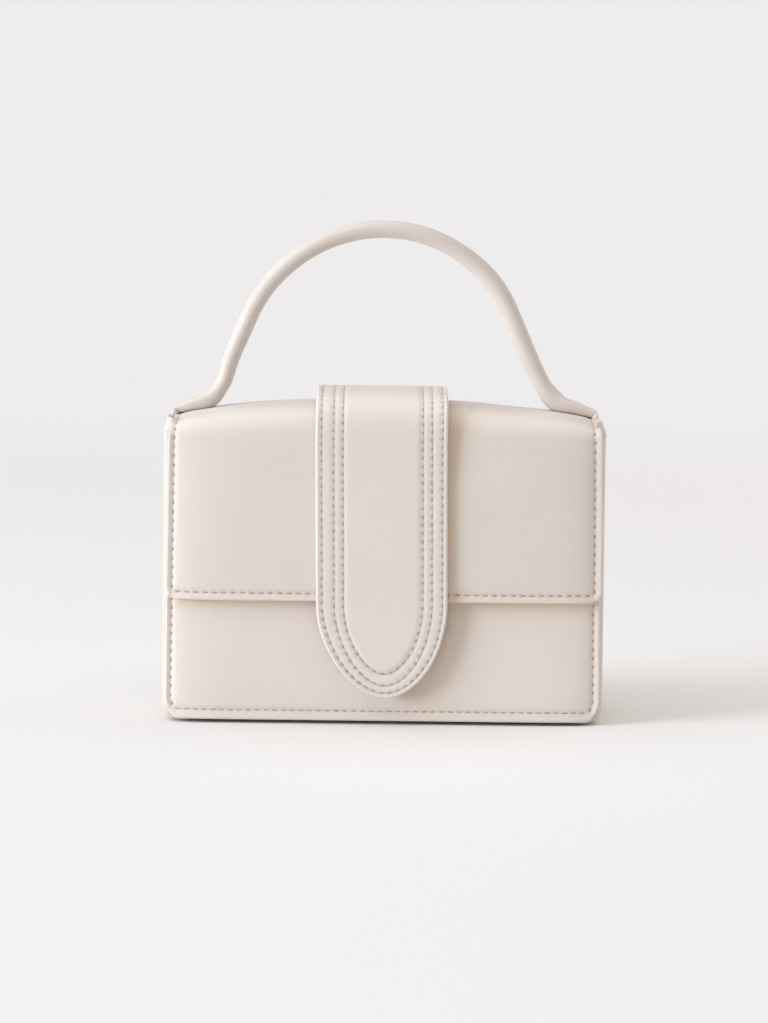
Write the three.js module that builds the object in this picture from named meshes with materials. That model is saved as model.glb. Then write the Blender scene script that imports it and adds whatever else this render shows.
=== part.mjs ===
// Mini handbag in padded leather: a boxy body with a full front flap, a ribbed closing tab
// and a rolled top handle. Millimetres, +Z up, the front faces -Y, the base stands on z = 0.
import * as THREE from 'three';

// Body: half-widths run straight from the base to the taper height
const TAPER_HEIGHT = 119.2;
const PANEL_HALF_WIDTH = { low: 89.1, top: 87.6 };
const GUSSET_HALF_WIDTH = { low: 91.3, top: 90.6 };
const BODY_HALF_DEPTH = 23.5;
const CLEARANCE = 0.3;

// Gusset: a channel with its edges turned in under the panels
const GUSSET_TOP = 118.7;
const GUSSET_WALL = 1.6;
const GUSSET_EDGE_RADIUS = 2;
const GUSSET_FLANGE = 6;
const GUSSET_CORNER_RADIUS = 7;
const GUSSET_EAR = { height: 5.4, below: 2.9, lines: [6, 12, 17, 20.5] };

// Panels: leather over a thin pad, with a rim, a stitched valley and a puffed field
const PANEL_LOW = 2.8;
const PANEL_TOP = 113.2;
const PANEL_THICKNESS = 1.8;
const PANEL_CORNER_RADIUS = 5.2;
const PANEL_PUFF = { front: 0.6, back: 0.5 };
const PANEL_BOW = { front: 2, back: 0.8, reach: 8 };
const RIM_INSET = 0.8;
const RIM_HEIGHT = 0.4;
const EDGE_DROP = -0.3;
const STITCH_INSET = 2.2;
const PUFF_INSET = 10;
const PUFF_SHOULDER = { inset: 5, share: 0.7 };

// Flap: up the front, over the crown and down the back
const FLAP_LOW = 51.2;
const FLAP_BACK_LOW = 87.2;
const FLAP_SHOULDER = 116.2;
const FLAP_THICKNESS = 1.8;
const FLAP_PUFF = 0.5;
const FLAP_BOW = { height: 2.9, reach: 9.5, fadeLow: 93.2 };
const FLAP_CORNER_RADIUS = 4.2;
const FLAP_NARROWING = 0.6;
const CROWN_HEIGHT = 132;
const CROWN_DROP = 6.4;
const CROWN_DROP_AT = 86;
const CROWN_POWER = 2.7;
const ARCH_POWER = 3;
const ARCH_LENGTH_SHARE = 0.87;

// Closing tab: three stitched rows with ribs between them, and a half-elliptic end
const TAB_HALF_WIDTH = 26.8;
const TAB_LOW = 11.9;
const TAB_END_HEIGHT = 38.4;
const TAB_TOP = 137.9;
const TAB_BACK_LOW = 95.2;
const TAB_THICKNESS = 2;
const TAB_RIB = 0.4;
const TAB_FIELD = 0.2;
const TAB_ROWS = [2.3, 6.9, 10.6];
const TAB_FIELD_INSET = 13;
const TAB_SHIFT = { top: -0.9, low: 0.3, tip: 1.6 };

// Snap between the tab and the front panel
const SNAP_RADIUS = 7;
const SNAP_HEIGHT = 28.2;

// Handle: a rolled arch that flattens into feet along the crown and ends in straps
const HANDLE_RADIUS = 3.6;
const HANDLE_TOP = 206.1;
const HANDLE_ARC_RADIUS = 58.5;
const HANDLE_ARC_ANGLE = THREE.MathUtils.degToRad(66);
const HANDLE_LEAN = { shift: -2.2, rise: 20 };
const FOOT_BEND = { x: 69, z: 132.4, radius: 17 };
const FOOT_HALF = { thick: 2.45, wide: 5 };
const FOOT_TAPER = { from: 66, to: 77 };
const STRAP_HALF = { thick: 0.7, wide: 6 };
const STRAP_TAPER = { from: 85.2, to: 87.3 };
const STRAP_BEND = { z: 127.6, radius: 3 };
const STRAP_END = 99.2;

// Layers outward from the body's front and back faces
const FRONT_VALLEY = CLEARANCE + PANEL_THICKNESS;
const FLAP_FRONT_VALLEY = FRONT_VALLEY + PANEL_PUFF.front + CLEARANCE + FLAP_THICKNESS;
const FLAP_FRONT_TOP = FLAP_FRONT_VALLEY + FLAP_BOW.height + FLAP_PUFF;
const TAB_FRONT_VALLEY = FLAP_FRONT_TOP + CLEARANCE + TAB_THICKNESS;
const BACK_PANEL_TOP = FRONT_VALLEY + PANEL_BOW.back + PANEL_PUFF.back;
const FLAP_BACK_VALLEY = BACK_PANEL_TOP + CLEARANCE + FLAP_THICKNESS;
const TAB_BACK_VALLEY = FLAP_BACK_VALLEY + FLAP_PUFF + CLEARANCE + TAB_THICKNESS;
const BODY_CENTRE_Y = (TAB_FRONT_VALLEY - TAB_BACK_VALLEY) / 2;

const frontPlane = (layer) => BODY_CENTRE_Y - BODY_HALF_DEPTH - layer;
const backPlane = (layer) => BODY_CENTRE_Y + BODY_HALF_DEPTH + layer;
const bowAt = (inset, reach) => 1 - Math.exp(-inset / reach);
const crown = (x) => CROWN_HEIGHT - CROWN_DROP * (Math.abs(x) / CROWN_DROP_AT) ** CROWN_POWER;

function halfWidthAt(width, z) {
  return THREE.MathUtils.lerp(width.low, width.top, THREE.MathUtils.clamp(z / TAPER_HEIGHT, 0, 1));
}

// Height between the steps of a [inset, height] table
function reliefAt(steps, inset) {
  const next = steps.findIndex(([at]) => at >= inset);
  if (next < 0) return steps.at(-1)[1];
  if (next === 0) return steps[0][1];
  const [fromInset, fromHeight] = steps[next - 1];
  const [toInset, toHeight] = steps[next];
  return THREE.MathUtils.mapLinear(inset, fromInset, toInset, fromHeight, toHeight);
}

// Relief of a padded panel inward from its edge: turned rim, stitched valley, puffed field
function panelRelief(puff) {
  return [
    [0, EDGE_DROP],
    [RIM_INSET, RIM_HEIGHT],
    [STITCH_INSET, 0],
    [PUFF_SHOULDER.inset, PUFF_SHOULDER.share * puff],
    [PUFF_INSET, puff],
  ];
}

// Relief of the tab: a rim, then a rib between each two stitched rows, then a low field
function tabRelief() {
  const steps = [[0, EDGE_DROP], [RIM_INSET, RIM_HEIGHT]];
  TAB_ROWS.forEach((row, k) => {
    steps.push([row, 0]);
    const next = TAB_ROWS[k + 1];
    if (next) steps.push([(row + next) / 2, TAB_RIB]);
  });
  steps.push([TAB_FIELD_INSET, TAB_FIELD]);
  return steps;
}

// Bends the square corner of a sheet into an arc, keeping every line's inset from the edge
function roundCorner(a, b, across, along) {
  if (a >= across || b >= along) return { a, b, inset: Math.min(a, b) };
  const share = Math.min(a / across, b / along);
  const inset = share * across;
  const leg = (Math.max(a / across, b / along) - share) / (1 - share);
  const turn = a / across < b / along ? 1 - leg : 1 + leg;
  const angle = turn * Math.PI / 4;
  return {
    a: across - (across - inset) * Math.cos(angle),
    b: along - (along - inset) * Math.sin(angle),
    inset,
  };
}

function meshOf(name, positions, triangles, material) {
  const geometry = new THREE.BufferGeometry();
  geometry.setAttribute('position', new THREE.Float32BufferAttribute(positions, 3));
  geometry.setIndex(triangles);
  geometry.computeVertexNormals();
  const mesh = new THREE.Mesh(geometry, material);
  mesh.name = name;
  return mesh;
}

// A closed leather sheet: an outer face with relief, a plain inner face and the edge between.
// columns and rows are lines across and along the flat pattern; place puts a point in space.
function paddedSheet({ name, material, columns, rows, corner, relief, thickness, place }) {
  const half = columns.at(-1);
  const length = rows.at(-1);
  const positions = [];
  for (const inner of [false, true]) {
    for (const v of rows) {
      for (const u of columns) {
        const bent = roundCorner(half - Math.abs(u), v, corner.across, corner.along);
        const inset = Math.min(bent.inset, length - v);
        const height = inner ? -thickness : reliefAt(relief, inset);
        positions.push(...place(Math.sign(u) * (half - bent.a), bent.b, height));
      }
    }
  }
  const wide = columns.length;
  const tall = rows.length;
  const at = (i, j, inner) => (inner * tall + j) * wide + i;
  const triangles = [];
  const quad = (a, b, c, d) => triangles.push(a, b, c, a, c, d);
  for (let j = 0; j < tall - 1; j += 1) {
    for (let i = 0; i < wide - 1; i += 1) {
      quad(at(i, j, 0), at(i + 1, j, 0), at(i + 1, j + 1, 0), at(i, j + 1, 0));
      quad(at(i, j, 1), at(i, j + 1, 1), at(i + 1, j + 1, 1), at(i + 1, j, 1));
    }
  }
  for (let i = 0; i < wide - 1; i += 1) {
    quad(at(i, 0, 1), at(i + 1, 0, 1), at(i + 1, 0, 0), at(i, 0, 0));
    quad(at(i, tall - 1, 0), at(i + 1, tall - 1, 0), at(i + 1, tall - 1, 1), at(i, tall - 1, 1));
  }
  for (let j = 0; j < tall - 1; j += 1) {
    quad(at(0, j, 0), at(0, j + 1, 0), at(0, j + 1, 1), at(0, j, 1));
    quad(at(wide - 1, j, 1), at(wide - 1, j + 1, 1), at(wide - 1, j + 1, 0), at(wide - 1, j, 0));
  }
  return meshOf(name, positions, triangles, material);
}

// Joins a row of equal rings into a closed solid; section is the first ring's flat outline
function sweep(name, rings, section, material) {
  const count = rings[0].length;
  const triangles = [];
  for (let k = 0; k < rings.length - 1; k += 1) {
    for (let i = 0; i < count; i += 1) {
      const here = k * count + i;
      const next = k * count + (i + 1) % count;
      triangles.push(here, next, next + count, here, next + count, here + count);
    }
  }
  const last = (rings.length - 1) * count;
  for (const [a, b, c] of THREE.ShapeUtils.triangulateShape(section, [])) {
    triangles.push(a, c, b, last + a, last + b, last + c);
  }
  return meshOf(name, rings.flat(2), triangles, material);
}

// Lines across a sheet, mirrored about its middle: the given insets, then even steps between
function mirroredLines(half, insets, middleSteps) {
  const side = insets.map((inset) => half - inset);
  const inside = side.at(-1);
  const middle = evenLines(-inside, inside, middleSteps).slice(1, -1);
  return [...side.map((u) => -u), ...middle, ...side.toReversed()];
}

function evenLines(from, to, steps) {
  return Array.from({ length: steps + 1 }, (_, k) => THREE.MathUtils.lerp(from, to, k / steps));
}

const insetsOf = (relief) => relief.map(([inset]) => inset);

// The line that the flap and tab follow: up the front, over the top and down the back.
// Distances along it count from the front's lower edge; the arch is a superellipse.
function overTop({ low, backLow, front, back, top }) {
  const frontLeg = FLAP_SHOULDER - low;
  const half = (back - front) / 2;
  const archLength = ARCH_LENGTH_SHARE * 2 * (top(0) - FLAP_SHOULDER + half);
  const length = frontLeg + archLength + FLAP_SHOULDER - backLow;
  const signedPower = (value, power) => Math.sign(value) * Math.abs(value) ** power;
  function turnAt(along) {
    return Math.PI * THREE.MathUtils.clamp((along - frontLeg) / archLength, 0, 1);
  }
  function place(x, along, height) {
    if (along <= frontLeg) return [x, front - height, low + along];
    if (along >= frontLeg + archLength) {
      return [x, back + height, FLAP_SHOULDER - (along - frontLeg - archLength)];
    }
    const turn = turnAt(along);
    const rise = top(x) - FLAP_SHOULDER;
    const across = signedPower(-Math.cos(turn), 2 / ARCH_POWER);
    const up = Math.sin(turn) ** (2 / ARCH_POWER);
    const normal = new THREE.Vector2(
      signedPower(across, ARCH_POWER - 1) / half,
      up ** (ARCH_POWER - 1) / rise,
    ).normalize();
    return [
      x,
      (front + back) / 2 + half * across + normal.x * height,
      FLAP_SHOULDER + rise * up + normal.y * height,
    ];
  }
  return { frontLeg, archLength, length, turnAt, place };
}

// Front or back panel: a padded sheet bowed from side to side, whose outer side faces -Y or +Y
function panel(name, side, puff, bow, material) {
  const relief = panelRelief(puff);
  const insets = insetsOf(relief);
  const height = PANEL_TOP - PANEL_LOW;
  const half = PANEL_HALF_WIDTH.low;
  const rows = [...insets, ...evenLines(PUFF_INSET, height - PUFF_INSET, 3).slice(1, -1)];
  const outer = side < 0 ? frontPlane(FRONT_VALLEY) : backPlane(FRONT_VALLEY);
  return paddedSheet({
    name,
    material,
    relief,
    columns: mirroredLines(half, insets, 4),
    rows: [...rows, ...insets.toReversed().map((inset) => height - inset)],
    corner: { across: PANEL_CORNER_RADIUS, along: PANEL_CORNER_RADIUS },
    thickness: PANEL_THICKNESS,
    place(u, v, lift) {
      const z = PANEL_LOW + v;
      const x = u * halfWidthAt(PANEL_HALF_WIDTH, z) / half;
      const bowed = lift + bow * bowAt(half - Math.abs(u), PANEL_BOW.reach);
      return [-side * x, outer + side * bowed, z];
    },
  });
}

// Gusset: one channel strip down a side, under the base and up the other side,
// with each top end raised into an ear under the flap's arch, beside the handle's strap
function gusset(material) {
  const corner = GUSSET_CORNER_RADIUS;
  const rightStations = evenLines(corner, GUSSET_TOP, 4).map((z) => (
    { x: halfWidthAt(GUSSET_HALF_WIDTH, z), z, outX: 1, outZ: 0 }
  ));
  const cornerX = halfWidthAt(GUSSET_HALF_WIDTH, corner) - corner;
  const cornerStations = evenLines(0, Math.PI / 2, 6).slice(0, -1).map((angle) => {
    const outX = Math.sin(angle);
    const outZ = -Math.cos(angle);
    return { x: cornerX + corner * outX, z: corner + corner * outZ, outX, outZ };
  });
  const right = [...cornerStations, ...rightStations];
  const left = right.map((s) => ({ ...s, x: -s.x, outX: -s.outX })).toReversed();
  const section = channelSection();
  const rings = [...left, ...right].map(({ x, z, outX, outZ }) => section.map((p) => {
    const rise = z === GUSSET_TOP ? earRise(p.x, p.y) : 0;
    return [x - outX * p.y, BODY_CENTRE_Y + p.x, z + rise - outZ * p.y];
  }));
  return sweep('gusset', rings, section, material);
}

// Rise of the ear by the distance from the middle of the gusset's depth; the flange stays low
function earRise(depth, inward) {
  if (inward > GUSSET_EDGE_RADIUS) return 0;
  const share = Math.abs(depth) / (BODY_HALF_DEPTH + FLAP_BACK_VALLEY);
  const arch = (1 - share ** ARCH_POWER) ** (1 / ARCH_POWER);
  return (GUSSET_EAR.height + GUSSET_EAR.below) * arch - GUSSET_EAR.below;
}

// The channel's outline: x runs from front to back, y runs inward from the outer face
function channelSection() {
  const edge = GUSSET_EDGE_RADIUS;
  const wallLines = GUSSET_EAR.lines;
  const backHalf = [
    ...wallLines.map((depth) => new THREE.Vector2(depth, 0)),
    ...evenLines(0, Math.PI / 2, 3).map((angle) => new THREE.Vector2(
      BODY_HALF_DEPTH - edge + edge * Math.sin(angle),
      edge - edge * Math.cos(angle),
    )),
    new THREE.Vector2(BODY_HALF_DEPTH, GUSSET_FLANGE),
    new THREE.Vector2(BODY_HALF_DEPTH - GUSSET_WALL, GUSSET_FLANGE),
    new THREE.Vector2(BODY_HALF_DEPTH - GUSSET_WALL, GUSSET_WALL),
    ...wallLines.toReversed().map((depth) => new THREE.Vector2(depth, GUSSET_WALL)),
  ];
  const frontHalf = backHalf.map((p) => new THREE.Vector2(-p.x, p.y)).toReversed();
  return [...backHalf, ...frontHalf];
}

// Flap: the padded sheet that closes the bag, bowed across its front, narrower over the crown
function flap(material) {
  const relief = panelRelief(FLAP_PUFF);
  const insets = insetsOf(relief);
  const half = PANEL_HALF_WIDTH.low;
  const line = overTop({
    low: FLAP_LOW,
    backLow: FLAP_BACK_LOW,
    front: frontPlane(FLAP_FRONT_VALLEY),
    back: backPlane(FLAP_BACK_VALLEY),
    top: (x) => crown(x) - FLAP_PUFF,
  });
  const archEnd = line.frontLeg + line.archLength;
  const fadeFrom = FLAP_BOW.fadeLow - FLAP_LOW;
  function bow(u, v) {
    const front = 1 - THREE.MathUtils.smoothstep(v, fadeFrom, line.frontLeg + line.archLength / 2);
    return FLAP_BOW.height * front * bowAt(half - Math.abs(u), FLAP_BOW.reach);
  }
  return paddedSheet({
    name: 'flap',
    material,
    relief,
    columns: mirroredLines(half, insets, 10),
    rows: [
      ...insets,
      ...evenLines(PUFF_INSET, line.frontLeg, 2).slice(1),
      ...evenLines(line.frontLeg, archEnd, 14).slice(1),
      ...insets.toReversed().map((inset) => line.length - inset),
    ],
    corner: { across: FLAP_CORNER_RADIUS, along: FLAP_CORNER_RADIUS },
    thickness: FLAP_THICKNESS,
    place(u, v, lift) {
      const narrowing = FLAP_NARROWING * Math.sin(line.turnAt(v));
      const z = line.place(0, v, 0)[2];
      const x = u * (halfWidthAt(PANEL_HALF_WIDTH, z) - narrowing) / half;
      return line.place(x, v, lift + bow(u, v));
    },
  });
}

// Closing tab: over the flap, its front end a half-ellipse, hanging a little out of line
function closureTab(material) {
  const relief = tabRelief();
  const insets = insetsOf(relief);
  const line = overTop({
    low: TAB_LOW,
    backLow: TAB_BACK_LOW,
    front: frontPlane(TAB_FRONT_VALLEY),
    back: backPlane(TAB_BACK_VALLEY),
    top: () => TAB_TOP - TAB_RIB,
  });
  const archEnd = line.frontLeg + line.archLength;
  const endScale = TAB_END_HEIGHT / TAB_HALF_WIDTH;
  const endInsets = [...insets, (TAB_FIELD_INSET + TAB_HALF_WIDTH) / 2];
  return paddedSheet({
    name: 'closure_tab',
    material,
    relief,
    columns: mirroredLines(TAB_HALF_WIDTH, insets, 4),
    rows: [
      ...endInsets.map((inset) => inset * endScale),
      ...evenLines(TAB_END_HEIGHT, line.frontLeg, 2),
      ...evenLines(line.frontLeg, archEnd, 12).slice(1),
      ...insets.toReversed().map((inset) => line.length - inset),
    ],
    corner: { across: TAB_HALF_WIDTH, along: TAB_END_HEIGHT },
    thickness: TAB_THICKNESS,
    place(u, v, lift) {
      return line.place(u + tabShift(v / line.frontLeg, v / TAB_END_HEIGHT), v, lift);
    },
  });
}

// Sideways shift of the tab's middle, by its share of the front and of the rounded end
function tabShift(frontShare, endShare) {
  const lean = THREE.MathUtils.lerp(TAB_SHIFT.low, TAB_SHIFT.top, Math.min(frontShare, 1));
  return lean + TAB_SHIFT.tip * (1 - Math.min(endShare, 1)) ** 2;
}

// Snap: a plain disc that fills the space behind the tab's end
function magnetSnap(material) {
  const front = TAB_FRONT_VALLEY - TAB_THICKNESS - CLEARANCE;
  const back = FRONT_VALLEY + PANEL_BOW.front + PANEL_PUFF.front + CLEARANCE;
  const disc = new THREE.CylinderGeometry(SNAP_RADIUS, SNAP_RADIUS, front - back, 24);
  const mesh = new THREE.Mesh(disc, material);
  mesh.name = 'magnet_snap';
  mesh.position.set(TAB_SHIFT.low, frontPlane((front + back) / 2), SNAP_HEIGHT);
  return mesh;
}

// Points of an arc that rounds the corner at bend between the lines to from and to
function filletPoints(from, bend, to, radius, steps) {
  const toFrom = from.clone().sub(bend).normalize();
  const toTo = to.clone().sub(bend).normalize();
  const halfAngle = Math.acos(toFrom.dot(toTo)) / 2;
  const reach = radius / Math.tan(halfAngle);
  const toCentre = toFrom.clone().add(toTo).normalize();
  const centre = toCentre.multiplyScalar(radius / Math.sin(halfAngle)).add(bend);
  const start = toFrom.multiplyScalar(reach).add(bend).sub(centre);
  const end = toTo.multiplyScalar(reach).add(bend).sub(centre);
  const sweepAngle = Math.atan2(start.cross(end), start.dot(end));
  const middle = new THREE.Vector2();
  return evenLines(0, sweepAngle, steps).map((turn) => start.clone().rotateAround(middle, turn).add(centre));
}

// Right half of the handle's middle line in x and z, from the top of the arch to the strap's end
function handleLine() {
  const arcCentre = HANDLE_TOP - HANDLE_RADIUS - HANDLE_ARC_RADIUS;
  const arc = evenLines(0, HANDLE_ARC_ANGLE, 10).map((angle) => new THREE.Vector2(
    HANDLE_ARC_RADIUS * Math.sin(angle),
    arcCentre + HANDLE_ARC_RADIUS * Math.cos(angle),
  ));
  const strapX = GUSSET_HALF_WIDTH.top - GUSSET_WALL - CLEARANCE - STRAP_HALF.thick;
  const footBend = new THREE.Vector2(FOOT_BEND.x, FOOT_BEND.z);
  const strapBend = new THREE.Vector2(strapX, STRAP_BEND.z);
  const strapEnd = new THREE.Vector2(strapX, STRAP_END);
  return [
    ...arc,
    ...filletPoints(arc.at(-1), footBend, strapBend, FOOT_BEND.radius, 6),
    ...filletPoints(footBend, strapBend, strapEnd, STRAP_BEND.radius, 6),
    strapEnd,
  ];
}

// Half-thickness and half-width of the handle at a point of its right half
function handleHalves({ x, y: z }) {
  const { smoothstep, lerp } = THREE.MathUtils;
  const onFoot = z < FOOT_BEND.z + FOOT_BEND.radius;
  const foot = onFoot ? smoothstep(x, FOOT_TAPER.from, FOOT_TAPER.to) : 0;
  const strap = smoothstep(x, STRAP_TAPER.from, STRAP_TAPER.to);
  const thick = lerp(lerp(HANDLE_RADIUS, FOOT_HALF.thick, foot), STRAP_HALF.thick, strap);
  const wide = lerp(lerp(HANDLE_RADIUS, FOOT_HALF.wide, foot), STRAP_HALF.wide, strap);
  return { thick, wide };
}

// Handle: an oval section along the mirrored middle line, leaning a little above the crown
function handle(material) {
  const sides = 12;
  const right = handleLine().map((point) => ({ point, halves: handleHalves(point) }));
  const left = right.slice(1).toReversed().map(({ point, halves }) => (
    { point: new THREE.Vector2(-point.x, point.y), halves }
  ));
  const stations = [...left, ...right];
  stations.forEach(({ point }) => {
    const above = THREE.MathUtils.smoothstep(point.y, FOOT_BEND.z, FOOT_BEND.z + HANDLE_LEAN.rise);
    point.x += HANDLE_LEAN.shift * above;
  });
  const circle = evenLines(0, 2 * Math.PI, sides).slice(0, -1);
  const section = circle.map((angle) => new THREE.Vector2(Math.cos(angle), Math.sin(angle)));
  const rings = stations.map(({ point, halves }, k) => {
    const before = stations[Math.max(k - 1, 0)].point;
    const after = stations[Math.min(k + 1, stations.length - 1)].point;
    const along = after.clone().sub(before).normalize();
    return section.map((p) => [
      point.x - along.y * halves.thick * p.y,
      BODY_CENTRE_Y + halves.wide * p.x,
      point.y + along.x * halves.thick * p.y,
    ]);
  });
  return sweep('handle', rings, section, material);
}

const leather = (color) => new THREE.MeshStandardMaterial({ color, roughness: 0.48, metalness: 0 });
const nickel = new THREE.MeshStandardMaterial({ color: '#c9c6bf', roughness: 0.3, metalness: 1 });

const group = new THREE.Group();
group.add(
  gusset(leather('#e9e2da')),
  panel('front_panel', -1, PANEL_PUFF.front, PANEL_BOW.front, leather('#e8e0d8')),
  panel('back_panel', 1, PANEL_PUFF.back, PANEL_BOW.back, leather('#e8e0d8')),
  flap(leather('#e7dfd8')),
  closureTab(leather('#e8e0d9')),
  magnetSnap(nickel),
  handle(leather('#e6ddd4')),
);

export default group;
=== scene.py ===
import math
from dataclasses import dataclass

import bpy
import numpy as np
from mathutils import Matrix, Vector
from mathutils.kdtree import KDTree


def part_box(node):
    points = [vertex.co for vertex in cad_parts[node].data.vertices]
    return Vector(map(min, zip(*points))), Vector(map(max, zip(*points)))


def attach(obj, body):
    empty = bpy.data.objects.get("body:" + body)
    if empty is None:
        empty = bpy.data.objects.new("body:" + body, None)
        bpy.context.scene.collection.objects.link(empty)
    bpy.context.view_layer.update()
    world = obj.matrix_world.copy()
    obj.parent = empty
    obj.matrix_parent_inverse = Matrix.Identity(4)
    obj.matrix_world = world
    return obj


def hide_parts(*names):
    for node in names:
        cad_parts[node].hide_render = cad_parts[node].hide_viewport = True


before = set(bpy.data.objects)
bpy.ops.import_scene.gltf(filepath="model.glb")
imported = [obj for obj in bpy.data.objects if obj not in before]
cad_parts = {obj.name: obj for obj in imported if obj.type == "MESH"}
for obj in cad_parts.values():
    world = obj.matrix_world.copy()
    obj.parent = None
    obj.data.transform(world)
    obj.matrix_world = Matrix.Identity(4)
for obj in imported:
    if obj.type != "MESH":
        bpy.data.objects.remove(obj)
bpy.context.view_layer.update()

# Lengths are in millimetres until a mesh, lamp or camera is made; MM turns them into metres
MM = 0.001
TINY = 1e-9
BODY = "root"


def node_box(node):
    low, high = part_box(node)
    return np.array(low) / MM, np.array(high) / MM


# Body widths: half-widths run straight from the base to the taper height
TAPER_HEIGHT = 119.2
PANEL_HALF_WIDTH = {"low": 89.1, "top": 87.6}
GUSSET_HALF_WIDTH = {"low": 90.9, "top": 90.25}
GUSSET_SET = 0.36
BODY_HALF_DEPTH = 23.5

# Edges and seams of the padded sheets
EDGE_ROUND = {"across": 0.55, "drop": 0.9}
RIM_HEIGHT = 0.46
STITCH_INSET = 2.2
SIDE_SET = {"flap": 0.4, "panel": 0.2}
LEFT_MARGIN = {"flap": 0.5, "panel": 0.3}
RIGHT_MARGIN = {"flap": 1.1, "panel": 0.6}
PAD_SHOULDER = {"share": 0.7, "reach": 1.2}
PAD_FIELD_REACH = 8
# Reach in mm of the painted shade beside the tab's shaded right edge and under the flap's lower edge
PAINTED_SHADE_REACH = {"tab": 6, "flap": 3.5}
EDGE_LINES = [0, 0.05, 0.15, 0.3, 0.55, 0.9, 1.3, 1.7, 2.0, 2.2, 2.4, 2.7, 3.1, 3.6, 4.2, 4.9, 5.7, 6.5]
GRID_STEP = 0.8
HIDDEN_GRID_STEP = 3.0
INNER_STEP = 4
ROW_SAMPLE = 0.25
ARCH_SAMPLES = 1441
# pull: reach of the dimples; tint: reach of the darker tone along the rows, partly wear and partly painted
# shade
SEAM_REACH = {"pull": 1.8, "tint": 0.7}

# Panels and flap
PANEL_CORNER = {"across": 5.2, "along": 9.8}
PANEL_DROP = 1.4
PANEL_PUFF = {"front": 0.6, "back": 0.5}
PANEL_BOW = {"front": 2, "back": 0.8, "reach": 8}
FINE_UNDER_FLAP = {"front": 6, "back": 4}
SHEET_THICKNESS = 1.8
FLAP_PUFF = 0.5
FLAP_BOW = {"height": 2.9, "reach": 9.5, "fade_low": 93.2}
FLAP_CORNER = {"across": 3.6, "along": 5.3}
FLAP_BACK_CORNER = 4.2
FLAP_BACK_LOW = 87.2
FLAP_SHOULDER = 116.2
FLAP_NARROWING = 0.6
CROWN_DROP = 6.4
CROWN_DROP_AT = 86
CROWN_POWER = 2.7
CROWN_SAG = {"by": 0.7, "at": 54, "reach": 15}
ARCH_POWER = 3

# Closing tab
TAB_HALF_WIDTH = 26.8
TAB_END_HEIGHT = 38.4
TAB_BACK_LOW = 95.2
TAB_BACK_CORNER = 6
TAB_THICKNESS = 2
TAB_RIB = {"solid": 0.4, "seen": 0.08, "power": 0.7}
TAB_EDGE = 1.0
TAB_RIM = 0.22
TAB_FIELD = 0.2
TAB_ROWS = [2.3, 6.9, 10.6]
TAB_TIP_ROWS = [2.3, 5.3, 10.2]
TAB_END_POWER = 1.09
TAB_FIELD_INSET = 13
TAB_SHIFT = {"top": -0.9, "low": 0.3, "tip": 0.9}
TAB_ROW_SHIFT = {"by": 0.35, "from_edge": 1.5, "full_at": 6}
TAB_GRID = {"rim": 0.2, "row": 0.25, "rib": 0.5, "field": 0.35, "past": 0.6, "middle": 1.2}

# Handle
HANDLE_RADIUS = 3.6
HANDLE_ARC_RADIUS = 58.5
HANDLE_ARC_ANGLE = math.radians(66)
HANDLE_SIDES = 48
HANDLE_STEP = 0.45
HANDLE_SAMPLES = {"arc": 60, "foot": 16, "strap": 12, "smoothing": 6}
HANDLE_SEAM_ANGLE = math.radians(38)
HANDLE_SEAM = {"depth": 0.16, "wide": 0.11, "sewn_from": 0.95, "scale": 0.7}
HANDLE_LEAN = {"shift": -2.2, "rise": 20, "top": 1.5, "top_from": 165}
HANDLE_SWELL = {"by": 0.8, "thick": 0.25, "from": 137, "full": 152, "fade": 178, "to": 198}
FOOT_BEND = {"x": 69, "z": 132.4, "radius": {"left": 20, "right": 17}, "blend": 4}
FOOT_HALF = {"thick": 2.45, "wide": 5}
FOOT_TAPER = {"from": 66, "to": 77}
FOOT_SEAT = {"from": {"left": 67.5, "right": 66}, "to": {"left": 74.5, "right": 73}, "press": 0.35}
HEEL_THIN = {"by": {"left": 0.4, "right": 0.1}, "from": 58, "full": 68, "fade": 73, "to": 81}
FOOT_DROP = {"by": 1.2, "from": 78, "to": 86.5}
STRAP_HALF = {"thick": 0.7, "wide": 6}
SQUARER = {"foot": 0.7, "strap": 1.5}
FOOT_END = {"left": 86.1, "right": 87.4, "reach": 0.9}
STRAP_BEND = {"z": 127.6, "radius": 3}
STRAP_X = {"left": 88, "right": 88.6}
STRAP_FILL = {"by": 0.8, "from": 120.2, "to": 125.2}

# Gusset
GUSSET_WALL = 1.6
GUSSET_EDGE_RADIUS = {"side": 2.4, "base": 0.8}
GUSSET_FLANGE = 6
GUSSET_CORNER_RADIUS = 7
GUSSET_EAR = {"height": 5.4, "more": 1.5, "below": 2.9, "power": 6, "reach": 30, "lean": 1.4}
GUSSET_STEP = {"wall": 2.5, "hem": 0.5}
GUSSET_COUNT = {"corner": 14, "base": 24, "face": 16, "edge": 7}
GUSSET_BEVEL = {"width": 0.5, "segments": 3, "angle": math.radians(50)}
HEM = {"height": 6, "lift": 0.35, "soft": 0.5, "lead": 1, "samples": 120}
BASE_LIFT = {"height": 0.9, "inner": 8, "outer": 1.5}

# Stitches
PITCH = {"flap": 3.8, "panel": 3.6, "tab": 3.4, "handle": 3.0, "hem": 3.6}
STITCH_HALF = {"upright": 0.6, "level": 1.05}
DIMPLE = {"depth": 0.36, "beyond": 0.3, "across": 0.85}
THREAD = {"radius": 0.23, "rings": 6, "sides": 6, "sink": 0.24, "dip": 0.16, "turn": 0.94}
BRIDGE = {"radius": 0.14, "short": 1.1, "rise": 0.02}
# Needle slots: dark discs laid on the leather at each stitch as painted shade of the needle holes
SLOT = {"beyond": 0.16, "wide": 0.36, "sides": 10, "lift": 0.05, "root": 0.3, "floor": 0.55, "fade": 1.4}

# How firmly the padded pieces are filled, 0 to 1
FILL = {"flap": 0.55, "panel": 0.5, "tab": 0.6, "handle": 0.95}

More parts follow.
